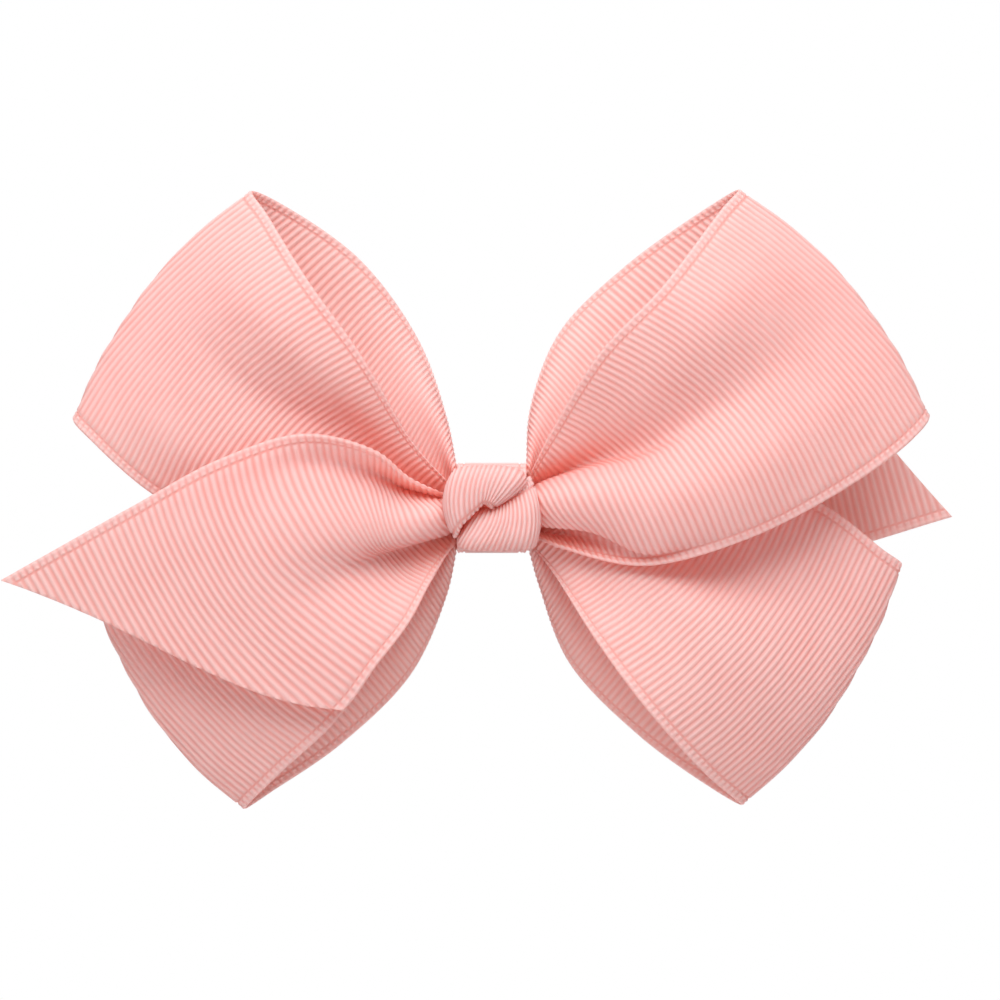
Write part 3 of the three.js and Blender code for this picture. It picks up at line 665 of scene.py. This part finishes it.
def gathered_layer(depth):
    """One length of ribbon folded to and fro across its width, as the thread draws it together."""
    middle_y, middle_z = sum(CORE_LAYERS) / 3, sum(CORE_Z) / 2

    def surface(share, v):
        x = CORE_X[0] + (CORE_X[1] - CORE_X[0]) * share
        pinch = waist_at(x)
        turn = 2 * np.pi * PLEATS * v
        y = depth + PLEAT_HALF_DEPTH * np.sin(turn) * (1 + 0.12 * np.sin(5 * v + depth))
        z = CORE_Z[0] + (CORE_Z[1] - CORE_Z[0]) * v
        return np.stack([x, middle_y + (y - middle_y) * pinch, middle_z + (z - middle_z) * pinch], -1)

    return surface


def make_gathered_centre():
    for number, depth in enumerate(CORE_LAYERS, 1):
        piece = ribbon_mesh(f"gathered_layer_{number}", gathered_layer(depth), CORE_LENGTH, RIBBON_WIDTH,
                            RIB_PITCH, PLEATS * 16, rib=CORE_RIB)
        fit(piece, BOW_CLOTH, "bow_ribbon", "gathered_centre", flat=(RIBBON_WIDTH, CORE_LENGTH),
            held="gathered")


def rounded_loop(low, high, radius, per_side=10):
    """Points round a rectangle with rounded corners, from the middle of its side at low[0]."""
    (a0, b0), (a1, b1) = low, high
    middle = (b0 + b1) / 2
    points = [(a0, middle)]
    centres = [(a0 + radius, b1 - radius, math.pi), (a1 - radius, b1 - radius, math.pi / 2),
               (a1 - radius, b0 + radius, 0), (a0 + radius, b0 + radius, -math.pi / 2)]
    for a, b, start in centres:
        for angle in np.linspace(start, start - math.pi / 2, per_side):
            points.append((a + radius * math.cos(angle), b + radius * math.sin(angle)))
    return np.array(points + [(a0, middle)])


def smooth_piece(name, place, faces):
    mesh = bpy.data.meshes.new(name)
    mesh.from_pydata((np.array(place) * MM).tolist(), [], faces)
    mesh.polygons.foreach_set("use_smooth", [True] * len(mesh.polygons))
    return placed(name, mesh)


def tube(name, centre, radius, across, sides=10):
    """A round tube along a line of points, closed at both ends. It never runs along the direction across."""
    ahead = np.gradient(centre, axis=0)
    ahead /= np.linalg.norm(ahead, axis=1, keepdims=True)
    side = np.cross(ahead, np.array(across))
    side /= np.linalg.norm(side, axis=1, keepdims=True)
    up = np.cross(ahead, side)
    turn = np.linspace(0, 2 * np.pi, sides, endpoint=False)
    ring = np.cos(turn)[None, :, None] * side[:, None] + np.sin(turn)[None, :, None] * up[:, None]
    place = (centre[:, None] + radius * ring).reshape(-1, 3)
    faces = [tuple(range(sides))[::-1], tuple(range(len(place) - sides, len(place)))]
    for i in range(len(centre) - 1):
        for k in range(sides):
            a, b = i * sides + k, i * sides + (k + 1) % sides
            faces.append((a, b, b + sides, a + sides))
    return smooth_piece(name, place, faces)


def make_thread():
    loop = rounded_loop(*THREAD_LOOP, THREAD_CORNER)
    turns = np.linspace(0, THREAD_TURNS, THREAD_TURNS * 60)
    place = along_line(loop, turns % 1)
    centre = np.column_stack([(turns / THREAD_TURNS - 0.5) * THREAD_WIDTH, place])
    coil = tube("binding_thread_coil", centre, THREAD_RADIUS, (1.0, 0.2, 0.1))
    fit(coil, THREAD, "thread", "binding_thread")


make_gathered_centre()
make_thread()


# ---- strap, knot and lining: the narrow ribbon -------------------------------------------------------
STRAP_X = (-4.65, 4.6)
STRAP_LOW = (-12.35, -5.65)
STRAP_HIGH = (0.45, 5.7)
STRAP_CORNER = 1.75
UNDER_LOW = (-15.3, -4.9)
UNDER_HIGH = (-13.15, 4.9)
UNDER_CORNER = 1.0
BAND_SHARE = 0.985  # of its loop that a band covers, so that its ends don't meet
TURN_LENGTH, TURN_WIDTH = 11, 8.5  # nominal sizes that a turn's ends and section are drawn to
SHEET_WIDTH = 10
KNOT_BACK = -12.9
NARROW_GRID = 30
LINING_X = (-23.7, 6.6)
LINING_Y = (-1.55, -0.25)
LINING_Z = (-4.1, 4.1)
LINING_WIDTH = 8.2
LINING_RIB = 0.07
NARROW_SELVAGES = (1.0, 1.0)
NARROW_RIB = 0.21


def band(name, low, high, radius, ends):
    """The narrow ribbon taken round a rounded rectangle in depth and height, its ribs across it."""
    loop = rounded_loop(low, high, radius)
    length = line_length(loop)

    def surface(share, v):
        place = along_line(loop, share * BAND_SHARE)
        return np.concatenate([(ends[0] + (ends[1] - ends[0]) * v)[..., None], place], -1)

    return ribbon_mesh(name, surface, length, KNOT_RIBBON_WIDTH, KNOT_RIB_PITCH, NARROW_GRID,
                       selvages=NARROW_SELVAGES, rib=NARROW_RIB), length


class Turn:
    """One turn of the knot, from its outer edge to the crease, rounded back at its ends.

    An edge point is a share of the turn's length, x and z. A section point is the share of the way across
    and the share of the knot's depth reached there.
    """

    def __init__(self, outer, crease, bend, ends, section, depth):
        self.outer = np.array(outer)
        self.crease = np.array(crease)
        self.bend = bend
        self.ends = catmull_rom([(TURN_LENGTH * s, depth * g) for s, g in ends])
        self.section = catmull_rom([(TURN_WIDTH * t, depth * g) for t, g in section])
        self.depth = depth
        self.length = line_length(self.ends)
        self.width = line_length(self.section)

    def edge(self, points, s):
        return np.stack([smooth_profile(points[:, [0, k]], s) for k in (1, 2)], -1)

    def __call__(self, share, v):
        lie = along_line(self.ends, share)
        rise = along_line(self.section, v)
        s, raised = lie[..., 0] / TURN_LENGTH, lie[..., 1] / self.depth
        t, crowned = rise[..., 0] / TURN_WIDTH, rise[..., 1] / self.depth
        place = self.edge(self.outer, s) * (1 - t[..., None]) + self.edge(self.crease, s) * t[..., None]
        x = place[..., 0] + smooth_profile(self.bend, s) * 4 * t * (1 - t)
        return np.stack([x, KNOT_BACK - self.depth * raised * crowned, place[..., 1]], -1)


UPPER_TURN = Turn(
    outer=[(0, -5.4, 4), (0.08, -4.7, 5), (0.18, -3.5, 5.4), (0.44, -0.9, 5.5), (0.66, 1.3, 5.45),
           (0.8, 2.9, 5.2), (0.91, 4.1, 4.5), (1, 4.6, 3.5)],
    crease=[(0, -4.75, -3.9), (0.16, -4.3, -2.6), (0.3, -3.15, -1.3), (0.44, -2, -0.15), (0.58, -1, 0.7),
            (0.72, -0.55, 0.5), (0.86, -0.25, 0.25), (1, 0, 0)],
    bend=[(0, -1.15), (0.3, -0.6), (0.6, -0.2), (0.8, 0.25), (1, 0.45)],
    ends=[(0.04, 0), (0, 0.35), (0.02, 0.68), (0.12, 0.92), (0.35, 1), (0.7, 1), (0.9, 0.93), (0.99, 0.72),
          (1, 0.4)],
    section=[(0.06, 0), (0, 0.35), (0.02, 0.66), (0.12, 0.9), (0.35, 1), (0.75, 1), (0.94, 0.94), (1, 0.86),
             (0.985, 0.77), (0.93, 0.73)],
    depth=5.7)
LOWER_TURN = Turn(
    outer=[(0, -4.4, -4.4), (0.08, -4.1, -5.1), (0.25, -2.6, -5.45), (0.6, 1.2, -5.5), (0.9, 4.6, -5.45),
           (1, 5.5, -5.1)],
    crease=[(0, -1, 0.45), (0.12, -0.3, 0.8), (0.3, 0.8, 1.1), (0.6, 2.2, 2.1), (0.8, 3.4, 3.1),
            (1, 4.8, 4.2)],
    bend=[(0, -0.3), (0.15, 0.15), (0.35, 0.7), (0.7, 0.9), (1, 1.05)],
    ends=[(0.01, 0.3), (0, 0.5), (0.02, 0.66), (0.12, 0.8), (0.35, 0.97), (0.7, 1), (0.88, 0.92),
          (0.98, 0.68), (1, 0.35), (0.97, 0)],
    section=[(0.03, 0.6), (0.01, 0.72), (0.06, 0.9), (0.2, 1), (0.4, 1), (0.58, 0.96), (0.74, 0.84),
             (0.88, 0.66), (1, 0.5)],
    depth=5.5)


def make_knot():
    strap, length = band("knot_strap_ribbon", STRAP_LOW, STRAP_HIGH, STRAP_CORNER, STRAP_X)
    fit(strap, KNOT_CLOTH, "knot_ribbon", "knot_strap", flat=(SHEET_WIDTH, length))
    under, length = band("knot_under_turn", UNDER_LOW, UNDER_HIGH, UNDER_CORNER, STRAP_X)
    fit(under, KNOT_CLOTH, "knot_ribbon", flat=(SHEET_WIDTH, length))
    turns = (("knot_upper_turn", UPPER_TURN, 1.9), ("knot_lower_turn", LOWER_TURN, 1.7))
    for name, turn, crease_edge in turns:
        piece = ribbon_mesh(name + "_ribbon", turn, turn.length, turn.width, KNOT_RIB_PITCH, NARROW_GRID,
                            selvages=(NARROW_SELVAGES[0], crease_edge), rib=NARROW_RIB)
        fit(piece, KNOT_CLOTH, "knot_ribbon", name, flat=(SHEET_WIDTH, turn.length))


def make_lining():
    """The narrow ribbon folded round the tip of the flat arm."""
    radius = (LINING_Y[1] - LINING_Y[0]) / 2
    bend = [(LINING_X[0] + radius - radius * math.sin(a), sum(LINING_Y) / 2 - radius * math.cos(a))
            for a in np.linspace(0, math.pi, 12)]
    path = np.array([(LINING_X[1], LINING_Y[0])] + bend + [(LINING_X[1], LINING_Y[1])])
    length = line_length(path)

    def surface(share, v):
        place = along_line(path, share)
        return np.concatenate([place, (LINING_Z[0] + (LINING_Z[1] - LINING_Z[0]) * v)[..., None]], -1)

    piece = ribbon_mesh("clip_lining_ribbon", surface, length, KNOT_RIBBON_WIDTH, KNOT_RIB_PITCH, NARROW_GRID,
                        selvages=NARROW_SELVAGES, rib=LINING_RIB)
    fit(piece, KNOT_CLOTH, "knot_ribbon", "clip_lining", flat=(SHEET_WIDTH, length),
        area=LINING_WIDTH * length)


make_knot()
make_lining()


# ---- glue and clip -----------------------------------------------------------------------------------
GLUE_HALF_X = 3.8
GLUE_HALF_Z = 2.85
GLUE_Y = (-2.42, -1.83)
PIVOT = (10, 2.2)  # x and y
COIL_RADIUS = 1.25  # to the middle of the wire
COIL_TURNS = 4
COIL_HALF = 1.24  # half its width along the pin
SPRING_WIRE = 0.25  # its radius
ARM_TIP_X = -22.5  # the toothed arm's line, in x and y, runs from here through its bends
ARM_BENDS = [(-8, 1.75), (-3, 2.2), (3, 3.4), (8, 4.3), (12.5, 4.5), (18, 5.8), (24.4, 8.75)]
ARM_HALF_Z = 3.5
ARM_CORNER = 1.8
STEEL_HALF = 0.35
CROWN = 0.26
PRESSED_RIB, PRESSED_HALF = 0.42, 0.95
GRIP_HEIGHT, GRIP_HALF = 0.2, 2.8
GRIP_PITCH = 1.3
ARM_COLUMNS = 49


def make_glue_pad():
    """A bead of hot-melt glue pressed flat between the strap and the lining, its rim swollen and uneven."""
    around = np.linspace(0, 2 * np.pi, 96, endpoint=False)
    wobble = 1 + 0.035 * np.sin(3 * around + 0.6) + 0.025 * np.sin(7 * around + 2) - 0.03 * np.cos(4 * around)
    square = (np.abs(np.cos(around)) ** 3 + np.abs(np.sin(around)) ** 3) ** (-1 / 3)
    middle, half = sum(GLUE_Y) / 2, (GLUE_Y[1] - GLUE_Y[0]) / 2
    swollen = [(0.93 + 0.07 * math.cos(a), math.sin(a)) for a in np.linspace(-1.4, 1.4, 9)]
    rim = [(0.55, -0.96), (0.85, -1), *swollen, (0.85, 1), (0.55, 0.96)]
    place = [(0, middle - 0.95 * half, 0)]
    for reach, side in rim:
        out = reach * (1 + (wobble - 1) * reach) * square
        ripple = half * (side + 0.05 * np.sin(5 * around + 3 * reach) * (1 - abs(side)))
        place += zip(GLUE_HALF_X * out * np.cos(around), middle + ripple, GLUE_HALF_Z * out * np.sin(around))
    place.append((0, middle + 0.95 * half, 0))
    count, last = len(around), len(place) - 1
    faces = []
    for k in range(count):
        after = (k + 1) % count
        faces.append((0, 1 + k, 1 + after))
        for ring in range(len(rim) - 1):
            low, high = 1 + ring * count, 1 + (ring + 1) * count
            faces.append((low + k, high + k, high + after, low + after))
        faces.append((last, last - count + after, last - count + k))
    fit(smooth_piece("glue_bead", place, faces), GLUE, "hot_melt_glue", "glue_pad")


def make_spring():
    """The torsion spring: a leg follows each arm, and the coil between them winds up round the pin."""
    share = np.linspace(0, 1, COIL_TURNS * 24 + 1)
    turn = -np.pi / 2 - share * (2 * COIL_TURNS - 1) * np.pi
    coil = np.column_stack([PIVOT[0] + COIL_RADIUS * np.cos(turn), PIVOT[1] + COIL_RADIUS * np.sin(turn),
                            COIL_HALF * (2 * share - 1)])
    fixed_leg = [(18.2, 0.15, -COIL_HALF), (14, 0.5, -COIL_HALF)]
    moving_leg = [(14, 4, COIL_HALF), (18.2, 5.05, COIL_HALF)]
    centre = catmull_rom([*fixed_leg, *coil, *moving_leg], 5)
    piece = tube("clip_spring_wire", centre, SPRING_WIRE, (0, 0, 1))
    give(piece, SPRING)
    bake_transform(piece)
    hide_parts("clip_spring")


def make_pressed_face():
    """The toothed arm's outer face: crowned, with a rib pressed along the jaw and ridges on the lever."""
    jaw = np.linspace((ARM_TIP_X, ARM_BENDS[0][1]), ARM_BENDS[0], 60, endpoint=False)
    stations = 360
    centre = along_line(np.vstack([jaw, catmull_rom(ARM_BENDS)]), np.linspace(0, 1, stations))
    ahead = np.gradient(centre, axis=0)
    ahead /= np.linalg.norm(ahead, axis=1, keepdims=True)
    x = centre[:, 0]
    round_tip = ARM_HALF_Z ** 2 - np.clip(ARM_TIP_X + ARM_HALF_Z - x, 0, None) ** 2
    round_end = ARM_CORNER ** 2 - np.clip(x - ARM_BENDS[-1][0] + ARM_CORNER, 0, None) ** 2
    half = np.minimum(np.sqrt(np.clip(round_tip, 0.01, None)),
                      ARM_HALF_Z - ARM_CORNER + np.sqrt(np.clip(round_end, 0.01, None)))
    across = np.linspace(-1, 1, ARM_COLUMNS)
    z = half[:, None] * across
    on_jaw = (smooth_step((x + 18.5) / 2) * smooth_step((5 - x) / 2))[:, None]
    on_lever = (smooth_step((x - 15) / 0.8) * smooth_step((23.2 - x) / 0.8))[:, None]
    rib = PRESSED_RIB * np.exp(-((z / PRESSED_HALF) ** 4)) * on_jaw
    grip = GRIP_HEIGHT * (0.5 + 0.5 * np.cos(2 * np.pi * x / GRIP_PITCH))[:, None] * on_lever
    grip = grip * smooth_step((GRIP_HALF - np.abs(z)) / 0.4)
    top = STEEL_HALF + CROWN * (1 - across ** 2) + rib + grip - 0.12 * across ** 12
    faces = []
    for row in range(0, (stations - 1) * ARM_COLUMNS, ARM_COLUMNS):
        for k in range(row, row + ARM_COLUMNS - 1):
            faces.append((k, k + ARM_COLUMNS, k + ARM_COLUMNS + 1, k + 1))
    sides = []
    for height in (top, np.full(z.shape, STEEL_HALF - 0.2)):
        raised_x = x[:, None] - ahead[:, 1:] * height
        raised_y = centre[:, 1:] + ahead[:, :1] * height
        sides.append(np.stack([raised_x, raised_y, z], -1))
    along = np.repeat(x[:, None], len(across), 1)
    piece = close_up("clip_pressed_face", sides, faces, {}, along, across)
    give(piece, STEEL)
    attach(piece, "jaw")


def dress_clip():
    for node in ("clip_flat_arm", "clip_toothed_arm", "clip_pivot_pin"):
        give(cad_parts[node], STEEL)


make_glue_pad()
make_spring()
make_pressed_face()
dress_clip()


# ---- studio ------------------------------------------------------------------------------------------
WORLD_LIGHT = 0.15  # what the white world lights with; the camera sees it as plain white
FLOOR_SEEN = 0.55  # extra brightness that the camera sees on the floor, which lights nothing
FLOOR_HALF, FLOOR_HEIGHT = 1.8, -0.2
SOFTBOX_AIM = (0, -0.01, 0)
# Each softbox's name, place, width and height, and power in watts.
SOFTBOXES = [("overhead_softbox", (0, 0, 0.8), (0.9, 0.7), 3.0),
             ("top_softbox", (0, -0.55, 0.65), (1.0, 0.6), 9.6),
             ("front_softbox", (0, -1.1, 0.15), (0.7, 0.6), 0.7),
             ("side_softbox", (-0.8, -0.5, 0.3), (0.5, 0.7), 1.1),
             ("back_softbox", (0.3, 1.0, 0.55), (0.8, 0.6), 2.4)]
CAMERA_DISTANCE = 1.0
SEEN_WIDTH = 0.13333
SENSOR = 36.0  # mm, as is the lens
LOOKED_AT = (0.00107, -0.010, 0.00107)


def light_world(scene):
    """A world that looks white to the camera and lights the bow only faintly."""
    world = bpy.data.worlds.new("white_studio")
    scene.world = world
    world.use_nodes = True
    nodes, links = world.node_tree.nodes, world.node_tree.links
    nodes.clear()
    out = nodes.new("ShaderNodeOutputWorld")
    seen = nodes.new("ShaderNodeBackground")
    lit = nodes.new("ShaderNodeBackground")
    lit.inputs["Strength"].default_value = WORLD_LIGHT
    lit.inputs["Color"].default_value = (1.0, 0.985, 0.98, 1)
    seen.inputs["Color"].default_value = (1, 1, 1, 1)
    path = nodes.new("ShaderNodeLightPath")
    mix = nodes.new("ShaderNodeMixShader")
    links.new(path.outputs["Is Camera Ray"], mix.inputs[0])
    links.new(lit.outputs[0], mix.inputs[1])
    links.new(seen.outputs[0], mix.inputs[2])
    links.new(mix.outputs[0], out.inputs["Surface"])


def softbox(name, place, size, power):
    data = bpy.data.lights.new(name, "AREA")
    data.shape = "RECTANGLE"
    data.size, data.size_y = size
    data.energy = power
    lamp = placed(name, data)
    lamp.location = place
    lamp.rotation_euler = (Vector(SOFTBOX_AIM) - Vector(place)).to_track_quat("-Z", "Y").to_euler()


def floor_material():
    """Pale and matt. The camera sees it brighter than it is lit."""
    pale, nodes, links = new_material("pale_floor")
    out = nodes.new("ShaderNodeOutputMaterial")
    body = set_inputs(nodes.new("ShaderNodeBsdfPrincipled"), Roughness=0.9)
    body.inputs["Base Color"].default_value = (0.8, 0.8, 0.8, 1)
    body.inputs["Emission Color"].default_value = (1, 1, 1, 1)
    seen_only = nodes.new("ShaderNodeMath")
    seen_only.operation = "MULTIPLY"
    seen_only.inputs[1].default_value = FLOOR_SEEN
    links.new(nodes.new("ShaderNodeLightPath").outputs["Is Camera Ray"], seen_only.inputs[0])
    links.new(seen_only.outputs[0], body.inputs["Emission Strength"])
    links.new(body.outputs[0], out.inputs["Surface"])
    return pale


def make_floor():
    mesh = bpy.data.meshes.new("floor")
    corners = [(-1, -1), (1, -1), (1, 1), (-1, 1)]
    place = [(x * FLOOR_HALF, y * FLOOR_HALF, FLOOR_HEIGHT) for x, y in corners]
    mesh.from_pydata(place, [], [(0, 1, 2, 3)])
    mesh.materials.append(floor_material())
    placed("floor", mesh)


def make_studio():
    scene = bpy.context.scene
    scene.view_settings.view_transform = "Standard"
    light_world(scene)
    for name, place, size, power in SOFTBOXES:
        softbox(name, place, size, power)
    make_floor()


def make_camera():
    data = bpy.data.cameras.new("camera")
    data.sensor_width = SENSOR
    data.lens = SENSOR * CAMERA_DISTANCE / SEEN_WIDTH
    data.clip_start, data.clip_end = 0.01, 20
    camera = placed("camera", data)
    camera.location = (LOOKED_AT[0], LOOKED_AT[1] - CAMERA_DISTANCE, LOOKED_AT[2])
    camera.rotation_euler = (math.radians(90), 0, 0)
    bpy.context.scene.camera = camera


make_studio()
make_camera()
